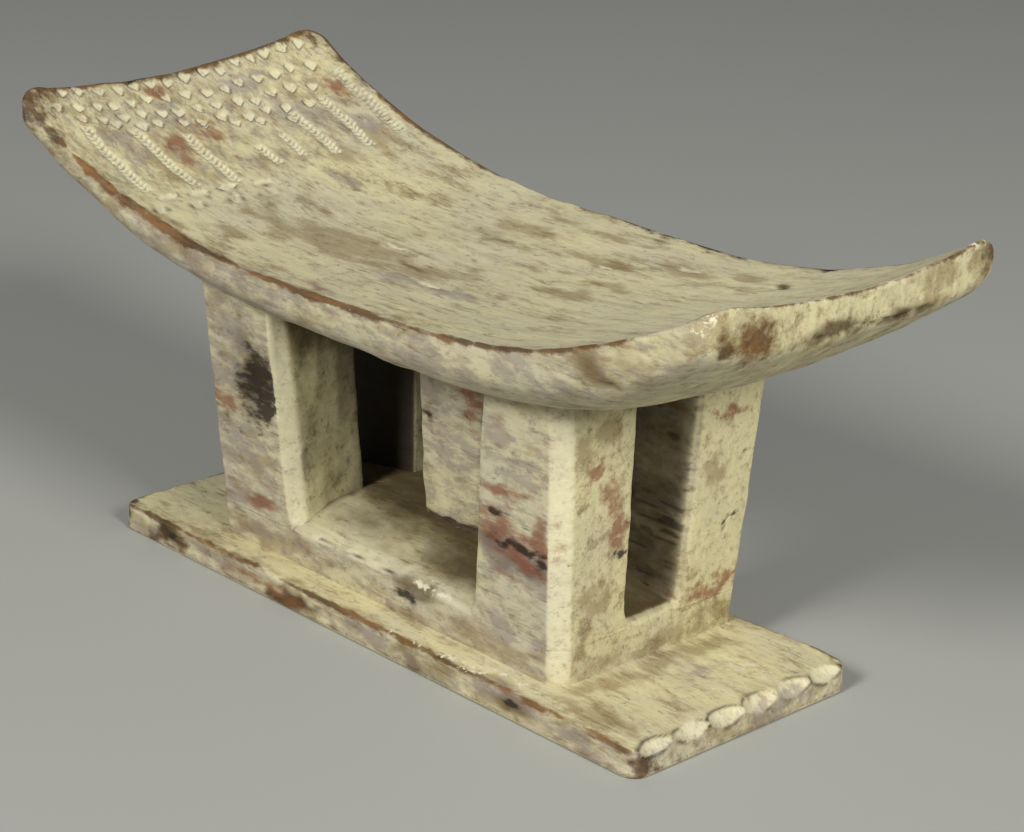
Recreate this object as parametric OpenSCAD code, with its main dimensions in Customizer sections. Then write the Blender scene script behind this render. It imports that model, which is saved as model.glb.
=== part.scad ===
// Carved wooden headrest: a dished seat on four corner posts and a central
// pillar, standing on a plinth and a thin base plate.
// Origin: centre of the base plate's underside. X runs along the seat, +Z is up.

/* [Base plate] */
// Length of the base plate
base_l = 321; // [240:1:400]
// Width of the base plate
base_w = 122; // [100:1:180]
// Thickness of the base plate
base_t = 12.5; // [8:0.5:25]
// Worn radius of the base plate's corners, seen from above
base_corner_r = 7; // [2:0.5:15]
// Worn bevel along the base plate's upper and lower edges
base_bevel = 2; // [0.5:0.5:4]

/* [Frame of plinth and posts] */
// Length of the frame where it meets the base plate
frame_l = 207; // [160:1:230]
// Width of the frame where it meets the base plate
frame_w = 98; // [85:1:110]
// How far the frame sits off the base plate's centre line, along Y
frame_off = 3.5; // [0:0.5:5]
// How far the frame's end faces lean out, in mm for each mm of height
lean_x = 0.055; // [0:0.005:0.1]
// How far the frame's long faces lean out, in mm for each mm of height
lean_y = 0.075; // [0:0.005:0.1]
// Depth of the chamfer on the frame's upright corner at the front right
corner_bevel = 6; // [2:0.5:8]
// Depth of the chamfer on the frame's three other upright corners
corner_wear = 1.5; // [1:0.5:6]
// Height of the window sills above the base plate
plinth_h = 17.5; // [10:0.5:30]
// Rise of the inner floor above the sills
floor_rise = 8; // [2:0.5:12]
// Clear height of the windows, from the sill up to the seat
window_h = 93; // [60:1:130]

/* [Windows] */
// Width of the long side windows at the sill
side_window_w = 108; // [60:1:130]
// How far each upright of a side window leans outwards, mm for each mm of height
side_window_lean = 0.09; // [0:0.01:0.12]
// How far each upright of a side window turns outwards going in, in degrees
side_window_splay = 3; // [0:1:12]
// Width of the end windows at the sill
end_window_w = 27; // [18:1:36]
// How far each upright of an end window leans outwards, mm for each mm of height
end_window_lean = 0.035; // [0:0.005:0.06]
// Distance of the end windows' centre line from the frame's, along Y
end_window_off = 2; // [0:0.5:4]
// Depth of the bevel along each upright of the windows
window_bevel = 3.5; // [1:0.5:6]

/* [Central pillar] */
// Size of the pillar along X at its top
pillar_l = 41; // [24:1:44]
// Size of the pillar along Y at its top
pillar_w = 30; // [16:1:34]
// Lean of the pillar's four faces, in mm for each mm of height
pillar_lean = 0.04; // [0:0.005:0.06]
// Depth of the chamfer on the pillar's upright corners
pillar_bevel = 1.5; // [1:0.5:5]

/* [Seat] */
// Length of the seat
seat_l = 404; // [300:1:485]
// Width of the seat at its middle
seat_w = 163; // [135:1:200]
// How much narrower the seat is at its ends
seat_taper = 4; // [0:0.5:10]
// Radius of the seat's four corners, seen from above
seat_corner_r = 11; // [5:1:20]
// Rise of the rim from mid length to the two ends
seat_rise = 44; // [20:1:60]
// Sharpness of the seat's upward sweep: higher keeps the middle flatter
sweep = 2.85; // [2:0.05:4]
// Sharpness of the hull's upward sweep underneath
hull_sweep = 3.3; // [2:0.1:4.5]
// Thickness of the seat's middle, up to the rim
seat_t = 31; // [24:1:45]
// Height of the end faces at their middle, up to the rim
end_t = 20; // [12:1:30]
// Depth of the hollow across the middle of the seat, below its rim
dish_mid = 4; // [1:0.5:8]
// Depth of the hollow across the ends of the seat, below their rims
dish_end = 7; // [1:0.5:10]
// How much the seat is wound: the back rim's extra height at -X and loss at +X
seat_wind = 2.5; // [0:0.5:5]
// Height of the rim band at mid length
rim_mid = 6; // [3:0.5:10]
// Height of the rim band at the ends
rim_end = 11; // [6:0.5:18]

/* [Hidden] */

sill_z = base_t + plinth_h;
floor_z = sill_z + floor_rise;
keel_z = sill_z + window_h;         // lowest height of the seat's underside
rim_z = keel_z + seat_t;            // height of the seat's rim at mid length
post_top_z = keel_z + seat_t / 2;   // inside the seat, which cuts the posts off
big = 2 * (base_l + seat_l);        // longer than anything in the model

side_window_r = side_window_w / 2;
end_window_r = end_window_w / 2;

kaolin = "#cbbf97";
kaolin_grey = "#b5a88f";
worn_kaolin = "#bfae84";
bare_wood = "#9a7447";

// ---- Helpers ----

// Cuts away all that lies beyond a leaning plane. The plane is square to the
// plan direction angle, at distance d on the height z, and leans out with height.
module beyond_plane(angle, d, z, lean = 0) {
    rotate([0, 0, angle])
    rotate([90, 0, 0])
    linear_extrude(big, center = true)
    polygon([
        [d - lean * (z + big), -big],
        [d + big * 3, -big],
        [d + big * 3, big],
        [d + lean * (big - z), big]
    ]);
}

// Tall block with the frame's four leaning sides and chamfered corners.
module frame_block(z_low, z_high) {
    half_l = frame_l / 2;
    half_w = frame_w / 2;
    corner_lean = (lean_x + lean_y) * sqrt(0.5);
    chamfers = [[-45, corner_bevel], [45, corner_wear], [135, corner_wear], [225, corner_wear]];
    translate([0, frame_off, 0])
    difference() {
        translate([-big / 2, -big / 2, z_low])
        cube([big, big, z_high - z_low]);
        for (turn = [0, 180]) {
            beyond_plane(turn, half_l, base_t, lean_x);
            beyond_plane(turn + 90, half_w, base_t, lean_y);
        }
        for (chamfer = chamfers)
            beyond_plane(chamfer[0], (half_l + half_w - chamfer[1]) * sqrt(0.5), base_t, corner_lean);
    }
}

// Takes away the part of a block that a post's two windows open up.
// end is -1 or 1 along X, side is -1 or 1 along Y.
module window_cuts(end, side) {
    face_y = side * (frame_w / 2 + lean_y * plinth_h);
    face_x = end * (frame_l / 2 + lean_x * plinth_h);
    inner_y = end_window_r + side * end_window_off;
    side_turn = (end > 0 ? 180 : 0) + end * side * side_window_splay;
    end_turn = side > 0 ? -90 : 90;
    bevel_d = window_bevel * sqrt(0.5);
    translate([0, frame_off, 0]) {
        // upright of the side window, pivoted where it meets the long face
        translate([end * side_window_r, face_y, 0])
        beyond_plane(side_turn, 0, sill_z, -side_window_lean);
        // bevel between that upright and the long face
        translate([end * side_window_r, face_y, 0])
        beyond_plane(atan2(side, -end), -bevel_d, sill_z, (lean_y - side_window_lean) * sqrt(0.5));
        // upright of the end window
        translate([face_x, side * inner_y, 0])
        beyond_plane(end_turn, 0, sill_z, -end_window_lean);
        // bevel between that upright and the end face
        translate([face_x, side * inner_y, 0])
        beyond_plane(atan2(-side, end), -bevel_d, sill_z, (lean_x - end_window_lean) * sqrt(0.5));
    }
}

// One corner post, from the sill up to the seat's underside.
module post(end, side) {
    difference() {
        intersection() {
            frame_block(sill_z, post_top_z);
            translate([end > 0 ? 0 : -big, side > 0 ? frame_off : frame_off - big, 0])
            cube([big, big, big]);
        }
        window_cuts(end, side);
        seat_body();
    }
}

// Section of the raised inner floor, width wide: level in the middle half, and
// falling to the sills.
module floor_section(width) {
    polygon([
        [-width / 2, sill_z - 1],
        [width / 2, sill_z - 1],
        [width / 2 - 1, sill_z],
        [width / 4, floor_z],
        [-width / 4, floor_z],
        [1 - width / 2, sill_z]
    ]);
}

// ---- Seat surfaces, as functions of x and of v, from -1 at the front to 1 ----

half_seat = seat_l / 2;
keel_rise = seat_rise + seat_t - end_t;
rim_power = 2.8;     // squareness of the hull's section towards the rim
keel_power = 2.6;    // squareness of the hull's section towards the keel

function share(x) = abs(x) / half_seat;
function between(mid, end, x) = mid + (end - mid) * pow(share(x), 2);
function rim(x, v) = rim_z + seat_rise * pow(share(x), sweep) - v * seat_wind * x / half_seat;
function corner_share(x) = max(0, (abs(x) - half_seat + seat_corner_r) / seat_corner_r);
function corner_in(x) = seat_corner_r * (1 - sqrt(max(0, 1 - pow(corner_share(x), 2))));
function half_width(x) = between(seat_w, seat_w - seat_taper, x) / 2 - corner_in(x);
function top_at(x, v) = rim(x, v) - between(dish_mid, dish_end, x) * (1 - v * v);
function keel(x) = keel_z + keel_rise * pow(share(x), hull_sweep);
function hull_curve(v) = 1 - pow(1 - pow(abs(v), rim_power), 1 / keel_power);
function under_at(x, v) = keel(x)
    + (rim(x, v) - between(rim_mid, rim_end, x) - keel(x)) * hull_curve(v);

top_steps = 10;
under_steps = 16;
length_steps = 30;
// stations crowd towards the ends, where the corners turn
function station(i) = half_seat * sin(90 * (2 * i / length_steps - 1));
function seat_ring(x) = concat(
    [for (j = [0 : top_steps]) let (v = 2 * j / top_steps - 1)
        [x, v * half_width(x), top_at(x, v)]],
    [for (j = [0 : under_steps]) let (v = cos(180 * j / under_steps))
        [x, v * half_width(x), under_at(x, v)]]
);

// The whole seat, as a skin over its rings with a flat cap at each end.
module seat_body() {
    ring_n = top_steps + under_steps + 2;
    points = [for (i = [0 : length_steps]) each seat_ring(station(i))];
    walls = [for (i = [0 : length_steps - 1], j = [0 : ring_n - 1])
        let (a = i * ring_n + j, b = i * ring_n + (j + 1) % ring_n)
        [a, b, b + ring_n, a + ring_n]];
    end_caps = [
        [for (j = [ring_n - 1 : -1 : 0]) j],
        [for (j = [0 : ring_n - 1]) length_steps * ring_n + j]
    ];
    polyhedron(points, concat(walls, end_caps));
}

// ---- Sub-parts ----

module base_plate() {
    color(worn_kaolin)
    intersection() {
        linear_extrude(base_t)
        difference() {
            square([base_l, base_w], center = true);
            for (sx = [-1, 1], sy = [-1, 1])
                translate([sx * base_l / 2, sy * base_w / 2])
                difference() {
                    square(2 * base_corner_r, center = true);
                    translate([-sx * base_corner_r, -sy * base_corner_r])
                    circle(base_corner_r, $fn = 64);
                }
        }
        rotate([90, 0, 0])
        linear_extrude(big, center = true)
        bevelled_section(base_l);
        rotate([90, 0, 90])
        linear_extrude(big, center = true)
        bevelled_section(base_w);
    }
}

// Section of the base plate, width wide, with its four edges bevelled.
module bevelled_section(width) {
    r = width / 2;
    b = base_bevel;
    polygon([
        [-r + b, 0], [r - b, 0], [r, b], [r, base_t - b],
        [r - b, base_t], [-r + b, base_t], [-r, base_t - b], [-r, b]
    ]);
}

module plinth() {
    color(kaolin) {
        frame_block(base_t, sill_z);
        translate([0, frame_off, 0])
        rotate([90, 0, 90])
        linear_extrude(side_window_w, center = true)
        floor_section(frame_w);
        translate([0, frame_off + end_window_off, 0])
        rotate([90, 0, 0])
        linear_extrude(end_window_w, center = true)
        floor_section(frame_l);
    }
}

// Pillar as a leaning block between two heights.
module pillar_block(z_low, z_high) {
    corner_d = (pillar_l / 2 + pillar_w / 2 - pillar_bevel) * sqrt(0.5);
    translate([0, frame_off - end_window_off / 2, 0])
    difference() {
        translate([-big / 2, -big / 2, z_low])
        cube([big, big, z_high - z_low]);
        for (turn = [0, 180]) {
            beyond_plane(turn, pillar_l / 2, keel_z, pillar_lean);
            beyond_plane(turn + 90, pillar_w / 2, keel_z, pillar_lean);
            for (corner = [45, 135])
                beyond_plane(turn + corner, corner_d, keel_z, pillar_lean * sqrt(2));
        }
    }
}

module center_pillar() {
    color(kaolin_grey)
    difference() {
        pillar_block(floor_z, post_top_z);
        seat_body();
    }
}

module post_front_left() {
    color(kaolin_grey)
    post(-1, -1);
}

module post_front_right() {
    color(kaolin_grey)
    post(1, -1);
}

module post_back_left() {
    color(kaolin)
    post(-1, 1);
}

module post_back_right() {
    color(kaolin)
    post(1, 1);
}

module seat() {
    color(bare_wood)
    seat_body();
}

base_plate();
plinth();
post_front_left();
post_front_right();
post_back_left();
post_back_right();
center_pillar();
seat();
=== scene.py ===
import math

import bmesh
import bpy
import numpy as np
from mathutils import Matrix, Vector


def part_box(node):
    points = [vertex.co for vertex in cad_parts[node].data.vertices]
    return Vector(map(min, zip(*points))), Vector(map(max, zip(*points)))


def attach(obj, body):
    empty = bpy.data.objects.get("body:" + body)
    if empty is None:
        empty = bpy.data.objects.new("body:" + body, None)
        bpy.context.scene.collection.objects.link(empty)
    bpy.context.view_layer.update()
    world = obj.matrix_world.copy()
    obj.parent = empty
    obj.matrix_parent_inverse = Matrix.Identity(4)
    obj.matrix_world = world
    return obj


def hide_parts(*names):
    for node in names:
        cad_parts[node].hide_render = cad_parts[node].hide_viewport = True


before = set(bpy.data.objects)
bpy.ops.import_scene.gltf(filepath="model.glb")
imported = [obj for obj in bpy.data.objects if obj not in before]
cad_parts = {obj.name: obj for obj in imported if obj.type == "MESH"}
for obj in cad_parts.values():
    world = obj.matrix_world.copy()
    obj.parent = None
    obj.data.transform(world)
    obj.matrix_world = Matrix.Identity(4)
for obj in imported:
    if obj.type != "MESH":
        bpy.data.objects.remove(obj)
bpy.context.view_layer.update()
print("frame loaded with", len(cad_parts), "nodes")

mm = 0.001


def boxOf(node):  # a node's lowest and highest corners in mm
    return [np.array(corner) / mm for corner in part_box(node)]


seatLow, seatHigh = boxOf("seat")
baseLow, baseHigh = boxOf("base_plate")
plinthLow, plinthHigh = boxOf("plinth")
pillarLow, pillarHigh = boxOf("center_pillar")
postLow, postHigh = boxOf("post_front_right")
seatScale = seatHigh / (202, 81.5, 200.5)  # marks are placed in mm on a seat 404 long, and follow the box
frameScale = plinthHigh / (104.5, 53.8, 38)
baseScale = baseHigh / (160.5, 61, 12.5)


# Smooth ramp: 0 at low, 1 at high, 3t^2 - 2t^3 between
def ramp(low, high, value):
    t = np.clip((value - low) / (high - low), 0, 1)
    return t * t * (3 - 2 * t)


# Noise from -1 to 1: random values on a lattice of cells size wide, blended smoothly between corners
def softNoise(points, size, seed):
    values = np.random.default_rng(seed).uniform(-1, 1, 8192)
    place = points / np.asarray(size, float)
    cell = np.floor(place).astype(np.int64)
    t = place - cell
    t = t * t * (3 - 2 * t)
    total = np.zeros(points.shape[:-1])
    for corner in np.ndindex(2, 2, 2):
        step = np.array(corner)
        spot = (cell + step) * np.array([73856093, 19349663, 83492791])
        key = (spot[..., 0] ^ spot[..., 1] ^ spot[..., 2]) % values.size
        total += np.prod(np.where(step, t, 1 - t), axis=-1) * values[key]
    return total


# Shallow bowls round jittered lattice points: 1 in the middle of a cut, 0 on the ridges between cuts
def toolCuts(u, w, length, width, seed):
    jitter = np.random.default_rng(seed).uniform(-0.35, 0.35, (64, 64, 2))
    a, b = u / length, w / width
    nearest = np.full(a.shape, 9.0)
    for da, db in np.ndindex(3, 3):
        ca, cb = np.floor(a) + da - 1, np.floor(b) + db - 1
        shift = jitter[ca.astype(int) % 64, cb.astype(int) % 64]
        far = (a - ca - 0.5 - shift[..., 0]) ** 2 + (b - cb - 0.5 - shift[..., 1]) ** 2
        nearest = np.minimum(nearest, far)
    return 1 - np.clip(nearest / 0.6, 0, 1)


# Leaf-shaped cut, round at one end and narrowing to a point at the other: steep sides, a floor sloping down
# to the point, and a painted shadow line round the deep half
def chip(u, w, centre, radii, turn, depth, skew=0.0):
    du, dw = u - centre[0], w - centre[1]
    c, s = math.cos(math.radians(turn)), math.sin(math.radians(turn))
    a, b = (du * c + dw * s) / radii[0], (dw * c - du * s) / radii[1]
    half = np.where(a < 0, np.sqrt(np.clip(1 - a * a, 0, 1)), np.clip(1 - a, 0, 1) ** (1 - 0.45 * skew))
    inside = np.minimum(half - np.abs(b), 1.2 * (1 - np.abs(a)))
    rim = np.exp(-(inside / 0.2) ** 2) * ramp(-0.5, 0.5, a - 0.3 * b)
    return depth * ramp(-0.04, 0.3, inside) * (1 - skew + skew * a), rim


# Line of small chevron cuts: a saw wave along the line, fading at its sides and ends; also a painted shadow
# at the deep end of each tooth
def toothedLine(u, w, start, stop, halfWidth, pitch, depth):
    du, dw = stop[0] - start[0], stop[1] - start[1]
    length = math.hypot(du, dw)
    along = ((u - start[0]) * du + (w - start[1]) * dw) / length
    side = ((w - start[1]) * du - (u - start[0]) * dw) / length
    side = side + 0.5 * np.sin(along / 5 + start[1])
    inside = ramp(-1.5, 1, along) * ramp(-1.5, 1, length - along)
    tooth = ((along + 0.9 * np.abs(side)) / pitch) % 1
    fade = inside * np.clip(1.3 - 1.3 * (side / halfWidth) ** 2, 0, 1)
    return depth * fade * (0.2 + 0.8 * tooth), fade * ramp(0.5, 0.8, tooth)


# Narrow V along a chain of points: depth on the chain, nothing a width away
def crack(u, w, chain, width, depth):
    nearest = np.full(u.shape, 1e9)
    for (u0, w0), (u1, w1) in zip(chain[:-1], chain[1:]):
        du, dw = u1 - u0, w1 - w0
        t = np.clip(((u - u0) * du + (w - w0) * dw) / (du * du + dw * dw), 0, 1)
        nearest = np.minimum(nearest, np.hypot(u - u0 - t * du, w - w0 - t * dw))
    return depth * np.clip(1 - nearest / width, 0, 1)


# Strongest of some soft ellipsoids (x, y, z and three radii): 1 at a centre, half at its radii, outlines
# wandering
def patches(points, marks, scale=1.0):
    points = points / scale
    shifts = [4.5 * softNoise(points, 14, seed) + 2 * softNoise(points, 5, seed + 9) for seed in (5, 6, 7)]
    wander = np.stack(shifts, -1)
    total = np.zeros(points.shape[:-1])
    for mark in marks:
        far = (((points + wander - np.array(mark[:3])) / np.array(mark[3:6])) ** 2).sum(-1)
        total = np.maximum(total, 0.85 / (1 + 0.7 * far * far))
    return total


# Outward directions of a grid whose columns close into rings: the cross product of its two steps
def outward(grid, firstWay, lastWay):
    across = np.roll(grid, -1, 1) - np.roll(grid, 1, 1)
    along = np.gradient(grid, axis=0)
    way = np.cross(across, along)
    way /= np.maximum(np.linalg.norm(way, axis=-1, keepdims=True), 1e-9)
    way[0], way[-1] = firstWay, lastWay
    return way


# Piece from a grid in mm, rows x columns, closed round its columns, end rows drawn in to a line or point
def makePiece(name, node, grid, paint, finish):
    rows, columns = grid.shape[:2]
    index = np.arange(rows * columns).reshape(rows, columns)
    low, high = index[:-1], index[1:]
    quads = np.stack([low, np.roll(low, -1, 1), np.roll(high, -1, 1), high], -1).reshape(-1, 4)
    mesh = bpy.data.meshes.new(name)
    mesh.vertices.add(rows * columns)
    mesh.vertices.foreach_set("co", (grid * mm).ravel())
    mesh.loops.add(quads.size)
    mesh.loops.foreach_set("vertex_index", quads.ravel())
    mesh.polygons.add(len(quads))
    mesh.polygons.foreach_set("loop_start", np.arange(0, quads.size, 4))
    for key, values in paint.items():
        layer = mesh.attributes.new(key, "FLOAT", "POINT")
        layer.data.foreach_set("value", np.clip(values, 0, 1).ravel())
    mesh.update(calc_edges=True)
    work = bmesh.new()
    work.from_mesh(mesh)
    bmesh.ops.remove_doubles(work, verts=work.verts, dist=1e-6)
    bmesh.ops.dissolve_degenerate(work, edges=work.edges, dist=1e-6)
    work.to_mesh(mesh)
    work.free()
    mesh.polygons.foreach_set("use_smooth", np.ones(len(mesh.polygons), bool))
    mesh.materials.append(finish)
    piece = bpy.data.objects.new(name, mesh)
    bpy.context.scene.collection.objects.link(piece)
    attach(piece, "root")
    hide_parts(node)
    print(name, "made with", len(mesh.polygons), "faces")
    return piece


paints = {
    "cream": "#dcd3a6", "grey": "#c5beab", "lilac": "#8f8380", "tan": "#8c764c", "rust": "#84472a",
    "bare": "#84592a", "bareDark": "#452e17", "charAndShade": "#261c11", "pale": "#e2dcc0", "grime": "#5f5137",
    "deep": "#574828", "floor": "#b4b5b0",
}


def tint(key):  # the hex colour as linear light
    parts = [int(paints[key][k:k + 2], 16) / 255 for k in (1, 3, 5)]
    return [*(c / 12.92 if c <= 0.04045 else ((c + 0.055) / 1.055) ** 2.4 for c in parts), 1.0]


def node(tree, kind, **settings):
    made = tree.nodes.new("ShaderNode" + kind)
    for key, value in settings.items():
        setattr(made, key, value)
    return made


def feed(tree, target, value):  # a socket is linked, anything else is set
    if isinstance(value, bpy.types.NodeSocket):
        tree.links.new(value, target)
    else:
        target.default_value = value


def sums(tree, operation, a, b=0.0, clamp=False):
    made = node(tree, "Math", operation=operation, use_clamp=clamp)
    feed(tree, made.inputs[0], a)
    feed(tree, made.inputs[1], b)
    return made.outputs[0]


def mixed(tree, share, a, b, blend="MIX"):
    made = node(tree, "Mix", data_type="RGBA", blend_type=blend)
    feed(tree, made.inputs[0], share)
    feed(tree, made.inputs[6], a)
    feed(tree, made.inputs[7], b)
    return made.outputs[2]


def fitted(tree, value, low, high, newLow=0.0, newHigh=1.0):
    made = node(tree, "MapRange", interpolation_type="SMOOTHSTEP")
    for k, number in enumerate((value, low, high, newLow, newHigh)):
        feed(tree, made.inputs[k], number)
    return made.outputs[0]


def grained(tree, stretch, scale, detail, roughness=0.6):  # noise on object coordinates, stretched
    place = node(tree, "TexCoord").outputs["Object"]
    turn = node(tree, "Mapping")
    feed(tree, turn.inputs["Vector"], place)
    feed(tree, turn.inputs["Scale"], stretch)
    noise = node(tree, "TexNoise")
    feed(tree, noise.inputs["Vector"], turn.outputs[0])
    for key, value in (("Scale", scale), ("Detail", detail), ("Roughness", roughness)):
        feed(tree, noise.inputs[key], value)
    return noise.outputs[0]


def newGroup(name, ins, outs):
    tree = bpy.data.node_groups.new(name, "ShaderNodeTree")
    for label, kind, value in ins:
        made = tree.interface.new_socket(label, in_out="INPUT", socket_type="NodeSocket" + kind)
        made.default_value = value
    for label, kind in outs:
        tree.interface.new_socket(label, in_out="OUTPUT", socket_type="NodeSocket" + kind)
    return tree, tree.nodes.new("NodeGroupInput"), tree.nodes.new("NodeGroupOutput")


# Worn edge of a painted mark: where amount beats a stretched noise, 1; elsewhere 0
def makeRaggedEdge():
    tree, ins, outs = newGroup(
        "raggedEdge",
        [("Amount", "Float", 0.0), ("Scale", "Float", 60.0), ("Spread", "Float", 0.8),
         ("Softness", "Float", 0.15), ("Stretch", "Vector", (1, 1, 1))],
        [("Mask", "Float")])
    noise = grained(tree, ins.outputs["Stretch"], ins.outputs["Scale"], 6.0, 0.65)
    spread = sums(tree, "MULTIPLY", sums(tree, "SUBTRACT", noise, 0.5), ins.outputs["Spread"])
    total = sums(tree, "ADD", ins.outputs["Amount"], spread)
    low = sums(tree, "SUBTRACT", 0.5, ins.outputs["Softness"])
    high = sums(tree, "ADD", 0.5, ins.outputs["Softness"])
    feed(tree, outs.inputs[0], fitted(tree, total, low, high))
    return tree


# Chalky pigment: warm and cool paint in clouds, rubbed thin in broad patches, faintly brushed along X, with
# a few fine dark fibres and cracks; where it is fresh it stays thick and clean. The cool input also brings
# painted shade, greyer on faces turned from the lamps, and the fresh input also brings a painted highlight,
# paler where faces meet the light
def makeKaolinCoat():
    tree, ins, outs = newGroup(
        "kaolinCoat",
        [("Warm", "Color", tint("cream")), ("Cool", "Color", tint("grey")), ("Thin", "Color", tint("tan")),
         ("Grime", "Color", tint("grime")), ("Coolness", "Float", 0.0), ("Thinness", "Float", 0.3),
         ("Fresh", "Float", 0.0)],
        [("Color", "Color"), ("Height", "Float")])
    clouds = grained(tree, (0.6, 1, 1), 26.0, 4.0)
    broad = grained(tree, (0.42, 1, 1), 80.0, 10.0, 0.68)
    strokes = grained(tree, (0.16, 1, 1), 330.0, 5.0, 0.65)
    fibres = grained(tree, (0.05, 1, 1), 800.0, 3.0, 0.6)
    mottle = grained(tree, (0.6, 1, 1), 210.0, 6.0, 0.7)
    kept = sums(tree, "SUBTRACT", 1.0, ins.outputs["Fresh"], True)
    cool = sums(tree, "ADD", ins.outputs["Coolness"],
                sums(tree, "MULTIPLY", sums(tree, "SUBTRACT", clouds, 0.5), 1.9), True)
    base = mixed(tree, cool, ins.outputs["Warm"], ins.outputs["Cool"])
    base = mixed(tree, sums(tree, "MULTIPLY", ins.outputs["Fresh"], 0.55), base, tint("pale"))
    dry = sums(tree, "ADD", sums(tree, "MULTIPLY", broad, 0.86), sums(tree, "MULTIPLY", strokes, 0.14))
    thinness = sums(tree, "MULTIPLY", sums(tree, "SUBTRACT", ins.outputs["Thinness"], 0.5), 0.35)
    dry = sums(tree, "ADD", dry, thinness)
    thin = sums(tree, "MULTIPLY", fitted(tree, dry, 0.46, 0.6, 0.0, 0.6), kept)
    base = mixed(tree, thin, base, ins.outputs["Thin"])
    lines = sums(tree, "ADD", sums(tree, "MULTIPLY", fibres, 0.55), sums(tree, "MULTIPLY", broad, 0.45))
    lineMask = fitted(tree, lines, 0.54, 0.66, 0.0, 0.42)
    blotch = fitted(tree, mottle, 0.56, 0.7, 0.0, 0.5)
    dirt = sums(tree, "MULTIPLY", sums(tree, "MAXIMUM", lineMask, blotch), kept)
    base = mixed(tree, dirt, base, ins.outputs["Grime"])
    winding = grained(tree, (0.45, 1, 1), 90.0, 4.0, 0.6)
    away = sums(tree, "ABSOLUTE", sums(tree, "SUBTRACT", winding, 0.5))
    gap = sums(tree, "MULTIPLY", fitted(tree, away, 0.0, 0.005, 1.0, 0.0), fitted(tree, mottle, 0.5, 0.6))
    base = mixed(tree, sums(tree, "MULTIPLY", gap, 0.3), base, ins.outputs["Grime"])
    shade = fitted(tree, strokes, 0.25, 0.75, 0.93, 1.05)
    shadeColor = node(tree, "CombineColor")
    for k in range(3):
        feed(tree, shadeColor.inputs[k], shade)
    feed(tree, outs.inputs[0], mixed(tree, 1.0, base, shadeColor.outputs[0], "MULTIPLY"))
    height = sums(tree, "ADD", sums(tree, "MULTIPLY", strokes, 0.4), sums(tree, "MULTIPLY", mottle, 0.5))
    height = sums(tree, "SUBTRACT", height, sums(tree, "MULTIPLY", thin, 0.35))
    height = sums(tree, "SUBTRACT", height, sums(tree, "MULTIPLY", dirt, 0.5))
    feed(tree, outs.inputs[1], sums(tree, "SUBTRACT", height, sums(tree, "MULTIPLY", gap, 0.4)))
    return tree


# Bare wood: long fibres along X, light on the polished crowns and dark between
def makeBareWood():
    tree, ins, outs = newGroup(
        "bareWood",
        [("Light", "Color", tint("bare")), ("Dark", "Color", tint("bareDark"))],
        [("Color", "Color"), ("Height", "Float")])
    fibres = grained(tree, (0.06, 1, 1), 420.0, 5.0, 0.6)
    clouds = grained(tree, (0.5, 1, 1), 55.0, 3.0)
    share = sums(tree, "ADD", sums(tree, "MULTIPLY", fibres, 0.5), sums(tree, "MULTIPLY", clouds, 0.7))
    light = fitted(tree, share, 0.46, 0.8)
    feed(tree, outs.inputs[0], mixed(tree, light, ins.outputs["Dark"], ins.outputs["Light"]))
    feed(tree, outs.inputs[1], fibres)
    return tree


# Scattered dark pores and dirt: small blots where a fine noise peaks inside a coarse one
def makeSpecks():
    tree, ins, outs = newGroup(
        "specks", [("Scale", "Float", 300.0), ("Amount", "Float", 0.5)], [("Mask", "Float")])
    fine = grained(tree, (0.45, 1, 1), ins.outputs["Scale"], 3.0)
    coarse = grained(tree, (0.5, 1, 1), 45.0, 3.0)
    total = sums(tree, "ADD", sums(tree, "MULTIPLY", fine, 0.7), sums(tree, "MULTIPLY", coarse, 0.45))
    edge = sums(tree, "SUBTRACT", 0.84, sums(tree, "MULTIPLY", ins.outputs["Amount"], 0.2))
    feed(tree, outs.inputs[0], fitted(tree, total, edge, sums(tree, "ADD", edge, 0.05)))
    return tree


groups = {"raggedEdge": makeRaggedEdge(), "kaolinCoat": makeKaolinCoat(), "bareWood": makeBareWood(),
          "specks": makeSpecks()}
print("node groups made")


def placed(tree, key, **values):
    made = tree.nodes.new("ShaderNodeGroup")
    made.node_tree = groups[key]
    for label, value in values.items():
        feed(tree, made.inputs[label], value)
    return made


def layer(tree, name):  # a piece's own attribute
    return node(tree, "Attribute", attribute_name=name).outputs["Fac"]


# Layers over the coat, in order: attribute, noise scale, spread, softness, stretch along X and strength;
# the deep layer also carries painted shade
washes = [("deep", 110.0, 0.9, 0.5, 0.6, 0.94), ("tan", 170.0, 2.4, 0.36, 0.42, 0.56),
          ("lilac", 220.0, 2.9, 0.3, 0.45, 0.55), ("rust", 200.0, 2.8, 0.44, 0.34, 0.74)]
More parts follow.
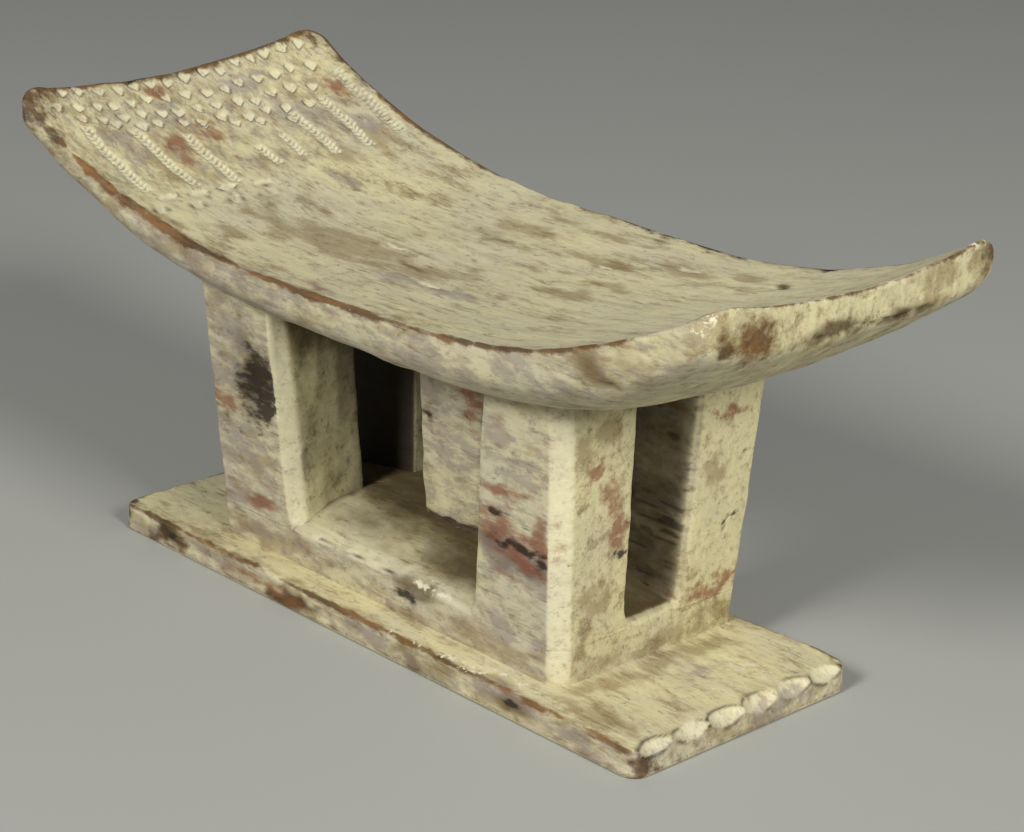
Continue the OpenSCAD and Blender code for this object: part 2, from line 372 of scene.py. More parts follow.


# One painted-wood finish: coat, then stains and painted shade, then bare edges, crusts and dirt, each by its own
# attribute, and last a near-black painted shade in hollows
def makeFinish(name, look):
    finish = bpy.data.materials.new(name)
    finish.use_nodes = True
    tree = finish.node_tree
    shader = tree.nodes["Principled BSDF"]
    coat = placed(tree, "kaolinCoat", Warm=tint("cream"), Cool=tint("grey"), Thin=tint("tan"),
                  Coolness=layer(tree, "cool"), Thinness=look["thinness"], Fresh=layer(tree, "freshAndHighlight"))
    wood = placed(tree, "bareWood", Light=tint("bare"), Dark=tint("bareDark"))
    color, height = coat.outputs[0], coat.outputs[1]
    for key, scale, spread, softness, stretch, strength in washes:
        mask = placed(tree, "raggedEdge", Amount=layer(tree, key), Scale=scale, Spread=spread,
                      Softness=softness, Stretch=(stretch, 1, 1))
        color = mixed(tree, sums(tree, "MULTIPLY", mask.outputs[0], strength), color, tint(key))
    bareMask = placed(tree, "raggedEdge", Amount=layer(tree, "bare"), Scale=240.0, Spread=2.2, Softness=0.36,
                      Stretch=(0.4, 1, 1))
    bareShare = sums(tree, "MULTIPLY", bareMask.outputs[0], 0.9)
    color = mixed(tree, bareShare, color, wood.outputs[0])
    charMask = placed(tree, "raggedEdge", Amount=layer(tree, "charAndShade"), Scale=300.0, Spread=2.2, Softness=0.3,
                      Stretch=(0.4, 1, 1))
    color = mixed(tree, sums(tree, "MULTIPLY", charMask.outputs[0], 0.9), color, tint("charAndShade"))
    paleMask = placed(tree, "raggedEdge", Amount=layer(tree, "pale"), Scale=300.0, Spread=2.2, Softness=0.12,
                      Stretch=(1, 1, 1))
    color = mixed(tree, paleMask.outputs[0], color, tint("pale"))
    speckMask = placed(tree, "specks", Scale=look["speckScale"], Amount=look["specks"])
    color = mixed(tree, sums(tree, "MULTIPLY", speckMask.outputs[0], 0.6), color, tint("bareDark"))
    # near-black painted shade in hollows, cracks and inside the frame
    color = mixed(tree, sums(tree, "MULTIPLY", layer(tree, "hollow"), 0.94), color, tint("charAndShade"))
    feed(tree, shader.inputs["Base Color"], color)
    roughness = sums(tree, "SUBTRACT", 0.82, sums(tree, "MULTIPLY", bareShare, 0.35))
    feed(tree, shader.inputs["Roughness"], roughness)
    height = sums(tree, "SUBTRACT", height, sums(tree, "MULTIPLY", bareShare, 0.5))
    height = sums(tree, "SUBTRACT", height, sums(tree, "MULTIPLY", charMask.outputs[0], 0.6))
    height = sums(tree, "SUBTRACT", height, sums(tree, "MULTIPLY", speckMask.outputs[0], 0.6))
    bump = node(tree, "Bump")
    bump.inputs["Strength"].default_value = look["bump"]
    bump.inputs["Distance"].default_value = 0.0008
    feed(tree, bump.inputs["Height"], height)
    feed(tree, shader.inputs["Normal"], bump.outputs[0])
    shader.inputs["Specular IOR Level"].default_value = 0.35
    return finish


finishes = {
    "seat": makeFinish("seatKaolin", {"thinness": 0.35, "specks": 0.22, "speckScale": 420.0, "bump": 0.6}),
    "post": makeFinish("postKaolin", {"thinness": 0.3, "specks": 0.1, "speckScale": 420.0, "bump": 0.5}),
    "frame": makeFinish("frameKaolin", {"thinness": 0.35, "specks": 0.12, "speckScale": 420.0, "bump": 0.55}),
    "base": makeFinish("baseKaolin", {"thinness": 0.35, "specks": 0.15, "speckScale": 420.0, "bump": 0.6}),
}
print("finishes made")

# The seat
seat = {
    "halfLength": seatHigh[0],
    "halfMiddle": seatHigh[1], "halfLeft": seatHigh[1], "halfRight": seatHigh[1] - 2,
    "cornerRadius": 9.0, "rim": seatHigh[2] - 46.5, "rise": 44.0, "sweepLeft": 2.65, "sweepRight": 3.05,
    "dishMiddle": 4.0, "dishLeft": 7.0, "dishRight": 8.0, "windMiddle": 0.8, "wind": -2.4,
    "keel": seatLow[2], "keelLeft": seatLow[2] + 55, "keelRight": seatLow[2] + 51,
    "keelSweepLeft": 2.9, "keelSweepRight": 3.6,
    "bandMiddle": 6.0, "bandLeft": 8.5, "bandRight": 13.0, "squareRim": 2.8, "squareKeel": 2.6,
    "arris": 2.2, "arrisLeft": 4.0, "arrisRight": 10.0, "innerShare": 0.84, "backLeft": 4.0,
    "columns": 166,
}


def bySide(x, left, right):
    return np.where(x < 0, left, right)


def seatShare(x):
    return np.abs(x) / seat["halfLength"]


# Rim height: level plus rise times share of length to a power, wound by v
def rimAt(x, v):
    power = bySide(x, seat["sweepLeft"], seat["sweepRight"])
    wind = seat["windMiddle"] + seat["wind"] * x / seat["halfLength"]
    return seat["rim"] + seat["rise"] * seatShare(x) ** power + v * wind


def seatBetween(x, key):  # from the middle value to the end value with the square of the share
    end = bySide(x, seat[key + "Left"], seat[key + "Right"])
    return seat[key + "Middle"] + (end - seat[key + "Middle"]) * seatShare(x) ** 2


def topAt(x, v):
    return rimAt(x, v) - seatBetween(x, "dish") * (1 - v * v)


# Underside: from the keel up to the rim band by 1 - (1 - |v|^a)^(1/b)
def underAt(x, v):
    power = bySide(x, seat["keelSweepLeft"], seat["keelSweepRight"])
    keelEnd = bySide(x, seat["keelLeft"], seat["keelRight"])
    keel = seat["keel"] + (keelEnd - seat["keel"]) * seatShare(x) ** power
    hull = 1 - np.clip(1 - np.abs(v) ** seat["squareRim"], 0, 1) ** (1 / seat["squareKeel"])
    return keel + (rimAt(x, v) - seatBetween(x, "band") - keel) * hull


# Half width: tapering a little to the right end, drawn in round the corners by a quarter circle
def halfWidthAt(x):
    wide = seatBetween(x, "half")
    into = np.clip((np.abs(x) - seat["halfLength"] + seat["cornerRadius"]) / seat["cornerRadius"], 0, 1)
    return wide - seat["cornerRadius"] * (1 - np.sqrt(1 - into ** 2))


# Radius of the long upper edges: small along the seat, larger where the end corners are worn round
def arrisAt(x):
    end = bySide(x, seat["arrisLeft"], seat["arrisRight"])
    return seat["arris"] + (end - seat["arris"]) * seatShare(x) ** 14


def backFlare(x, v):  # the left end stands out a little at the back
    return seat["backLeft"] * np.clip(v, 0, 1) * (x < 0) * seatShare(x) ** 3


# Rings of the seat at stations x: over the top from back to front, down the front, under, and up the back
def seatRings(x):
    inner = np.linspace(seat["innerShare"], -seat["innerShare"], seat["columns"])[None, :]
    wide = halfWidthAt(x)
    edge = 1 - arrisAt(x) / wide
    step = np.linspace(0, 1, 6)[None, 1:-1]
    outer = seat["innerShare"] + (edge - seat["innerShare"]) * step
    turn = np.linspace(0, np.pi / 2, 6)[None, :]
    arrisV = 1 - (1 - edge) * (1 - np.sin(turn))
    arrisDrop = arrisAt(x) * (1 - np.cos(turn))
    level = np.linspace(0, 1, 5)[None, 1:]
    angle = np.linspace(0, np.arccos(seat["innerShare"] ** (seat["squareRim"] / 2)), 13)[None, 1:-1]
    underV = np.cos(angle) ** (2 / seat["squareRim"])

    def sideDrop(v):
        start = rimAt(x, v) - arrisAt(x)
        return start + (underAt(x, v * np.ones_like(x)) - start) * level

    parts = [
        (inner + 0 * x, topAt(x, inner)),
        (-outer, topAt(x, -outer)),
        (-arrisV, topAt(x, -arrisV) - arrisDrop),
        (-1 + 0 * level + 0 * x, sideDrop(-1.0)),
        (-underV + 0 * x, underAt(x, -underV)),
        (inner[:, ::-1] + 0 * x, underAt(x, inner[:, ::-1])),
        (underV[:, ::-1] + 0 * x, underAt(x, underV[:, ::-1])),
        (1 + 0 * level + 0 * x, sideDrop(1.0)[:, ::-1]),
        (arrisV[:, ::-1], topAt(x, arrisV[:, ::-1]) - arrisDrop[:, ::-1]),
        (outer[:, ::-1], topAt(x, outer[:, ::-1])),
    ]
    v = np.concatenate([p[0] for p in parts], 1)
    z = np.concatenate([p[1] for p in parts], 1)
    topColumns = np.concatenate([np.full(p[0].shape[1], k in (0, 1, 2, 8, 9)) for k, p in enumerate(parts)])
    return v, np.stack([x + 0 * v, v * wide + backFlare(x, v), z], -1), topColumns


def makeSeat():
    long, soft = seat["halfLength"], seat["arris"]
    body = np.concatenate([
        np.arange(-long + soft, -181, 0.8), np.arange(-181, -121, 0.62), np.arange(-121, 168, 3.4),
        np.arange(168, long - soft, 1.3), [long - soft]])
    turn = np.linspace(0, np.pi / 2, 5)[1:]
    shares = np.linspace(0, 1, 8)[1:]
    bend = long - soft + soft * np.sin(turn)
    x = np.concatenate([0 * shares - long, -bend[::-1], body, bend, 0 * shares + long])[:, None]
    cap, bendIn = 0 * shares + soft, soft * (1 - np.cos(turn))
    inset = np.concatenate([cap, bendIn[::-1], 0 * body, bendIn, cap])[:, None, None]
    share = np.concatenate([shares[::-1], 0 * turn, 0 * body, 0 * turn, shares])[:, None, None]
    v, grid, topColumns = seatRings(x)
    middleV = np.clip(v, -seat["innerShare"], seat["innerShare"])
    middleY = middleV * halfWidthAt(x) + backFlare(x, middleV)
    middle = np.stack([x + 0 * v, middleY, (topAt(x, middleV) + underAt(x, middleV)) / 2], -1)
    reach = np.linalg.norm(middle - grid, axis=-1, keepdims=True)
    grid = grid + (middle - grid) * np.clip(inset / np.maximum(reach, 1e-6), 0, 0.6)
    grid = grid + (middle - grid) * share
    way = outward(grid, (-1, 0, 0), (1, 0, 0))
    px, py, pz = grid[..., 0], grid[..., 1], grid[..., 2]
    rimZ, topZ = rimAt(px, v), topAt(px, v)
    onTop = (topColumns[None, :] & (share[..., 0] == 0)).astype(float) * ramp(0.3, 0.7, way[..., 2])
    onEnd = ramp(0.6, 0.9, way[..., 0])

    swell = 0.8 * softNoise(grid, 38, 1) + 0.35 * softNoise(grid, 12, 2)
    swell += 0.12 * softNoise(grid, (30, 3, 3), 3)
    swell -= 0.55 * toolCuts(px, py, 17, 10, 4) * ramp(0.1, -0.4, way[..., 2])
    swell -= 0.22 * toolCuts(px + 0.3 * py, py, 24, 9, 8) * onTop

    motifs = []  # carved on the top's left end: depths and painted shadow lines
    dice = np.random.default_rng(11)
    mx, my, mz = (grid[..., k] / seatScale[k] for k in range(3))
    for xFront, xBack, yFront, yBack, count in seatCuts["rows"]:
        for k in range(count):
            t = k / (count - 1)
            spot = (xFront + (xBack - xFront) * t + dice.uniform(-1.5, 1.5),
                    yFront + (yBack - yFront) * t + dice.uniform(-1.4, 1.4))
            radii = (dice.uniform(2.9, 3.9), dice.uniform(2.5, 3.4))
            motifs.append(chip(mx, my, spot, radii, dice.uniform(-35, 15), dice.uniform(1.3, 1.9), 0.55))
    for x0, y0, x1, y1, halfWidth in seatCuts["toothed"]:
        motifs.append(toothedLine(mx, my, (x0, y0), (x1, y1), halfWidth, seatCuts["toothPitch"], 1.9))
    for x0, y0 in seatCuts["ovals"]:
        motifs.append(chip(mx, my, (x0, y0), (2.4, 6.0), 6, 1.3, 0.3))
    cuts = np.maximum.reduce([m[0] for m in motifs]) * onTop
    cutLines = np.maximum.reduce([m[1] for m in motifs]) * onTop
    for x0, y0, along, across in seatCuts["pits"]:
        cuts = np.maximum(cuts, chip(mx, my, (x0, y0), (along, across), 8, 0.8, 0.1)[0] * onTop)

    broken = np.zeros(px.shape)  # splits and chips of the right end face
    for chain, width, depth in seatCuts["splits"]:
        broken = np.maximum(broken, crack(my, mz, np.array(chain), width, depth))
    broken = (broken + 0.5 * toolCuts(py, pz, 6, 11, 9)) * onEnd
    side = np.zeros(px.shape)
    for chain, width, depth in seatCuts["sideSplits"]:
        side = np.maximum(side, crack(mx, mz, np.array(chain), width, depth))
    side = side * ramp(0.3, 0.7, -way[..., 1])
    crust = patches(grid, seatMarks["pale"], seatScale) * (0.6 + 0.8 * np.abs(softNoise(grid, 3.5, 21)))
    swell = swell - cuts - broken - side + 1.1 * crust
    grid = grid + way * swell[..., None]

    seatPatches = {key: patches(grid, marks, seatScale) for key, marks in seatMarks.items()}
    longEdge = np.hypot(halfWidthAt(px) * (1 - np.abs(v)), rimZ - pz)
    endEdge = np.hypot(long - np.abs(px), topZ - pz)
    lowEdge = np.hypot(long - np.abs(px), underAt(px, v) - pz)
    uneven = 1 + 0.5 * softNoise(grid, 16, 31) + 0.35 * softNoise(grid, 5, 32)
    width = (1.9 + 1.5 * ramp(-20, -90, px)) * uneven
    bare = 1.15 * np.exp(-(longEdge / width) ** 2) * ramp(198, 176, px)
    bare = np.maximum(bare, 1.1 * np.exp(-(endEdge / (bySide(px, 3.3, 1.4) * uneven)) ** 2))
    bare = np.maximum(bare, 0.4 * np.exp(-(lowEdge / 1.6) ** 2) * (px > 0))
    bare = np.maximum(bare, seatPatches["bare"])
    front = ramp(0.1, 0.7, -way[..., 1])
    below = ramp(-0.1, -0.7, way[..., 2])
    freshAndHighlight = ramp(0.1, 0.5, cuts)  # pigment lies clean and thick in the cuts
    between = onTop * 0.36 * ramp(-112, -130, px)
    # browner on the front side, more so to the left: dirt and brushing, and painted shade with the light's
    # falloff to the left
    sideDirtAndShade = front * (0.18 * ramp(60, -60, px) + 0.26)
    farEnd = onEnd * ramp(20, 70, py)
    paint = {
        # cool: greyer on the front and underside faces, a painted shade of the softer light on those sides
        "cool": 0.16 * onTop + 0.4 * front + 0.4 * below + 0.25 * seatPatches["cool"],
        # fresh: clean pigment in the cuts, and on the top's right part a painted highlight where it rises to the
        # end
        "freshAndHighlight": np.maximum(0.9 * freshAndHighlight, 0.5 * onTop * ramp(50, 130, px)),
        "tan": np.maximum.reduce([seatPatches["tan"], sideDirtAndShade, between, 0.4 * farEnd]) * (1 - freshAndHighlight),
        "lilac": np.maximum.reduce([seatPatches["lilac"], sideDirtAndShade, 0.8 * between]) * (1 - freshAndHighlight),
        "rust": seatPatches["rust"] * (1 - 0.7 * freshAndHighlight),
        "bare": bare * (1 - 0.6 * freshAndHighlight),
        "charAndShade": seatPatches["charAndShade"],
        "pale": 0.8 * crust,
        # darker underneath, most over the frame's inside: painted shade under the seat
        "deep": np.maximum(below * (0.28 + 0.32 * (np.abs(px) < 104) * ramp(60, 40, np.abs(py))),
                           seatPatches["deep"]),
        # painted shade in the end and side splits, and painted shadow lines along the cuts
        "hollow": np.maximum(0.8 * ramp(0.4, 1.3, np.maximum(broken - 0.4, side)), 0.8 * cutLines),
    }
    return makePiece("seatShell", "seat", grid, paint, finishes["seat"])


seatCuts = {  # in mm; rows: x at front and back, y at front and back, count
    "rows": [(-197.5, -196, -60, 70, 15), (-190, -184, -69, 66, 15), (-181.5, -173, -62, 58, 13),
             (-175.5, -163, -48, 48, 10), (-168, -158, -6, 34, 4)],
    "toothPitch": 2.9,
    "toothed": [(-176, -64, -128, -66, 3.2), (-171, -42, -127, -42, 3.2), (-163, -20, -125, -22, 3.2),
                (-161, 38, -126, 35, 3.0), (-164, 57, -124, 53, 3.0), (-176, 75, -126, 73, 3.0),
                (-146, 7, -131, 6, 2.4), (-149, 22, -131, 20, 2.4)],
    "ovals": [(-121, -61), (-121, -45), (-122, -29), (-120, -12), (-112, -71), (-112, -52), (-112, -32),
              (-111, -14)],
    "pits": [(120, 53, 5, 1.8), (122, 78, 5, 2.2), (69, 55, 6, 2), (40, 36, 5, 1.6), (-34, -10, 4, 1.4),
             (12, -33, 7, 1.6)],
    "splits": [([(-24, 177), (-12, 175), (0, 177), (10, 175)], 1.1, 1.4),
               ([(12, 176), (24, 174), (38, 176)], 1, 1.3), ([(-4, 190), (2, 186), (8, 187)], 0.8, 0.9),
               ([(48, 194), (52, 186), (51, 180)], 0.7, 0.7)],
    "sideSplits": [([(146, 166), (152, 161), (158, 160)], 1.6, 1.1),
                   ([(-150, 170), (-120, 158), (-96, 151)], 0.7, 0.5)],
}
seatMarks = {  # x, y, z and three radii, in mm
    "tan": [(-47, -24, 151, 36, 13, 14), (-74, -32, 152, 24, 9, 12), (-8, -20, 150, 24, 8, 10),
            (-14, 46, 152, 18, 6, 9), (70, 54, 153, 16, 6, 9), (35, 39, 151, 16, 5, 9),
            (52, 2, 150, 14, 5, 9), (-124, 63, 166, 12, 9, 8), (-127, 36, 164, 11, 6, 8),
            (-150, -42, 170, 18, 9, 8), (-15, 67, 154, 14, 3, 6), (200, -74, 189, 8, 8, 7),
            (-100, -80, 154, 40, 5, 7), (60, 20, 150, 10, 4, 8), (-88, -55, 154, 10, 4, 8),
            (202, -54, 182, 5, 15, 10), (172, -80, 172, 8, 5, 6), (202, 44, 184, 5, 12, 9),
            (150, -80, 166, 14, 5, 8), (96, 60, 156, 12, 4, 6), (20, 62, 154, 16, 3, 6),
            (202, 68, 186, 5, 8, 9)],
    "lilac": [(12, -34, 150, 26, 5, 8), (-160, -52, 174, 14, 7, 8), (-176, -20, 180, 9, 12, 7),
              (-160, 40, 172, 16, 12, 8), (-2, -74, 152, 26, 3.5, 6), (-30, -82, 150, 40, 4, 6),
              (-140, 60, 168, 9, 9, 7), (-104, 20, 158, 12, 4, 8), (118, -80, 152, 20, 5, 7),
              (60, -80, 144, 26, 5, 6), (-186, 30, 186, 7, 12, 7)],
    "rust": [(-160, -9, 173, 10, 7, 7), (-154, -29, 171, 12, 5, 7), (-190, -14, 186, 5, 6, 6),
             (-2, -72, 152, 18, 2.5, 5), (-168, 66, 176, 9, 4, 6)],
    "bare": [(202, -52, 182, 5, 10, 7), (202, -66, 180, 5, 4, 6), (-202, -80, 190, 13, 11, 14),
             (-202, 81, 192, 10, 9, 10), (202, 74, 190, 5, 4, 6)],
    "charAndShade": [(53, 81, 154, 22, 5, 6), (-202, -6, 190, 2, 20, 2.5), (120, 53, 160, 5, 1.6, 4),
             (122, 79, 162, 6, 2, 4)],
    "deep": [(150, -81, 164, 8, 5, 6), (158, -81, 161, 8, 5, 4), (202, -12, 176, 4, 16, 2.6),
             (202, 26, 175, 4, 16, 2.8), (120, 54, 160, 8, 3, 4), (202, 78, 188, 5, 4, 8),
             (116, 79, 160, 16, 3, 4), (-12, -20, 150, 8, 2.5, 4)],
    "pale": [(199, -76, 192, 4, 5, 3), (202, 62, 195, 3, 6, 2), (202, -1, 190, 2, 4, 3)],
    "cool": [(-20, -20, 150, 90, 50, 30)],
}
makeSeat()


# Shared by the frame's pieces
frameShape = {
    "leanX": 0.055, "leanY": 0.075,
    "foot": baseHigh[2], "sill": postLow[2], "floorRise": plinthHigh[2] - postLow[2],
    "top": seatLow[2] + 14, "offset": (plinthLow[1] + plinthHigh[1]) / 2,
    "cornerBevel": {(1, -1): 6.0, (-1, -1): 1.6, (1, 1): 1.6, (-1, 1): 1.8},  # by end and side
}
sillRise = frameShape["sill"] - frameShape["foot"]
frameShape["halfLength"] = plinthHigh[0] - frameShape["leanX"] * sillRise
frameShape["halfWidth"] = (plinthHigh[1] - plinthLow[1]) / 2 - frameShape["leanY"] * sillRise
halfRoot = math.sqrt(0.5)  # each part of a unit step at 45 degrees
eightWays = np.array([[1, 0], [halfRoot, halfRoot], [0, 1], [-halfRoot, halfRoot],
                      [-1, 0], [-halfRoot, -halfRoot], [0, -1], [halfRoot, -halfRoot]])


# Unevenness left by the adze, the same for each piece at the same place, so that joints don't show
def carvedSwell(grid):
    broad = 0.65 * softNoise(grid, 34, 1) + 0.3 * softNoise(grid, 11, 2)
    return broad + 0.14 * softNoise(grid, (26, 4, 3), 3)


# Ring of a convex outline given as lines n.p = d at each height: corners where neighbours cross, sides
# divided evenly
def outlineRings(normals, reaches, counts):
    n1, n2 = normals, np.roll(normals, -1, 0)
    d1, d2 = reaches, np.roll(reaches, -1, 1)
    cross = n1[:, 0] * n2[:, 1] - n1[:, 1] * n2[:, 0]
    corner = np.stack([(d1 * n2[:, 1] - d2 * n1[:, 1]) / cross, (n1[:, 0] * d2 - n2[:, 0] * d1) / cross], -1)
    sides = [corner[:, None, k] + (np.roll(corner, -1, 1)[:, None, k] - corner[:, None, k])
             * (np.arange(count) / count)[None, :, None] for k, count in enumerate(counts)]
    return np.concatenate(sides, 1)


def worn(ring, times):  # each point moves towards the mean of its two neighbours
    for _ in range(times):
        ring = 0.5 * ring + 0.25 * (np.roll(ring, 1, 1) + np.roll(ring, -1, 1))
    return ring


# First and last rings closed: a ring half way in, then their middle point
def capped(grid):
    heart = grid.mean(1, keepdims=True) + 0 * grid
    ends = [heart[:1], (grid[:1] + heart[:1]) / 2, grid, (grid[-1:] + heart[-1:]) / 2, heart[-1:]]
    return np.concatenate(ends, 0)


# Paint shared by posts, pillar and plinth: cool on the long front face, a painted shade of the softer light
# there; clean on the bevels, partly a painted highlight where they face the lamps; brown deep inside, with
# painted shade there; and near-black painted shade in hollows and cracks
def framePaint(grid, way, inner, dark, bevels=1.0):
    front = ramp(0.35, 0.9, -way[..., 1])
    cleanAndLit = bevels * ramp(0.86, 0.94, (way[..., 0] - way[..., 1]) * math.sqrt(0.5))
    rest = 1 - 0.92 * cleanAndLit
    paint = {key: patches(grid, marks, frameScale) * rest for key, marks in frameMarks.items()}
    # greyer on the front: painted shade of the softer light there
    paint["cool"] = (0.06 + 0.45 * front) * rest
    paint["freshAndHighlight"] = 0.95 * cleanAndLit
    leftward = ramp(70, -80, grid[..., 0])  # browner on the front, more to the left: partly the left post's heavier wear, partly painted shade and the light's falloff
    paint["tan"] = np.maximum(paint["tan"], (0.16 + 0.2 * leftward) * front * rest)
    paint["lilac"] = np.maximum(paint["lilac"], (0.24 + 0.18 * leftward) * front * rest)
    # inner: brown inside, with painted shade; dark: near-black painted shade
    paint["deep"] = np.maximum(paint["deep"], inner)
    paint["hollow"] = dark
    return paint


# The four posts
posts = {
    "foot": frameShape["sill"] - 3, "flare": 2.2, "footFlare": 2.5, "splay": 3.0,
    "sideWindow": (53.2, 54.0), "sideLean": (0.055, 0.09),  # at the left and the right end
    "endWindow": 13.5, "endOffset": 2.0, "endLean": 0.035, "endBevel": 3.2,
    "sideBevelFoot": (6.0, 3.6), "sideBevelTop": (7.0, 4.6), "rowsHigh": 92, "footRows": 14, "footTop": 38,
    "boreDepth": 2.2,
}
frameMarks = {  # x, y, z and three radii, in mm, on the posts, pillar and plinth alike
    "tan": [(-100, -50, 116, 12, 6, 12), (-99, -49, 66, 8, 6, 4), (-66, -50, 112, 8, 6, 9),
            (106, 8, 15, 7, 40, 4), (109, -42, 108, 5, 6, 8), (104, -47, 30, 3, 4, 20),
            (106, 40, 20, 7, 20, 7), (78, -46, 20, 30, 5, 5), (108, 32, 84, 4, 6, 8),
            (-70, -46, 20, 40, 5, 6), (107, -30, 45, 4, 9, 7), (-80, -48, 52, 10, 6, 5),
            (108, -30, 114, 4, 12, 5), (107, -38, 20, 4, 8, 6)],
    "lilac": [(-92, -50, 110, 16, 6, 14), (-96, -49, 88, 12, 6, 10), (86, -50, 64, 24, 6, 12),
              (72, -50, 112, 10, 6, 12), (90, -50, 100, 14, 6, 8), (-50, -46, 57, 6, 5, 8),
              (-84, -48, 60, 20, 6, 5), (75, -48, 30, 9, 5, 5), (96, -48, 26, 6, 5, 5),
              (0, -12, 70, 22, 5, 8), (-8, -12, 95, 9, 5, 12), (-86, -47, 34, 14, 5, 5),
              (-4, -40, 33, 24, 4, 4), (20, -34, 34, 16, 4, 4), (-30, -36, 34, 14, 4, 4),
              (8, -12, 108, 10, 5, 9)],
    "rust": [(68, -50, 74, 12, 6, 7), (77, -51, 90, 13, 6, 2.5), (99, -50, 72, 5, 6, 8),
             (105, -47, 72, 4, 4, 9), (108, -25, 87, 5, 6, 9), (109, -33, 99, 5, 6, 4),
             (107, -19, 72, 5, 4, 8), (-77, -47, 35, 9, 6, 4), (-98, -50, 76, 9, 6, 3),
             (105, 34, 33, 5, 14, 2.5), (105, 46, 37, 5, 5, 3), (12, -12, 96, 6, 5, 8),
             (110, 40, 108, 4, 10, 1.6), (84, -50, 66, 12, 6, 7)],
    "bare": [(-98, -49, 70, 4, 5, 3), (104, -49, 20, 2, 2, 14), (60, -10, 33, 6, 8, 5)],
    "charAndShade": [(-75, -50, 89, 10, 7, 14), (-70, -50, 75, 6, 6, 8), (86, -50, 67, 16, 6, 2),
             (98, -50, 63, 4, 6, 3), (107, -17, 61, 4, 3, 1.6), (-15, -12, 81, 3, 5, 3),
             (14, -46, 22, 5, 5, 2), (-48, -46, 52, 3, 4, 3), (108, 45, 62, 2, 3, 1.2),
             (72, -50, 80, 6, 5, 1.5)],
    "deep": [(-77, -50, 90, 12, 7, 15), (90, -50, 60, 18, 6, 5), (70, -50, 66, 8, 6, 5),
             (20, -47, 27, 12, 5, 3)],
    "pale": [(26, -47, 31, 7, 3, 2), (38, -47, 30, 4, 3, 1.5), (105, -5, 30, 3, 3, 1.4)],
}
boreHoles = [(51, 88, 1.4), (44, 62, 1.1), (42, 57, 0.9), (-7, 51, 1.2)]  # y, z and radius on the right end


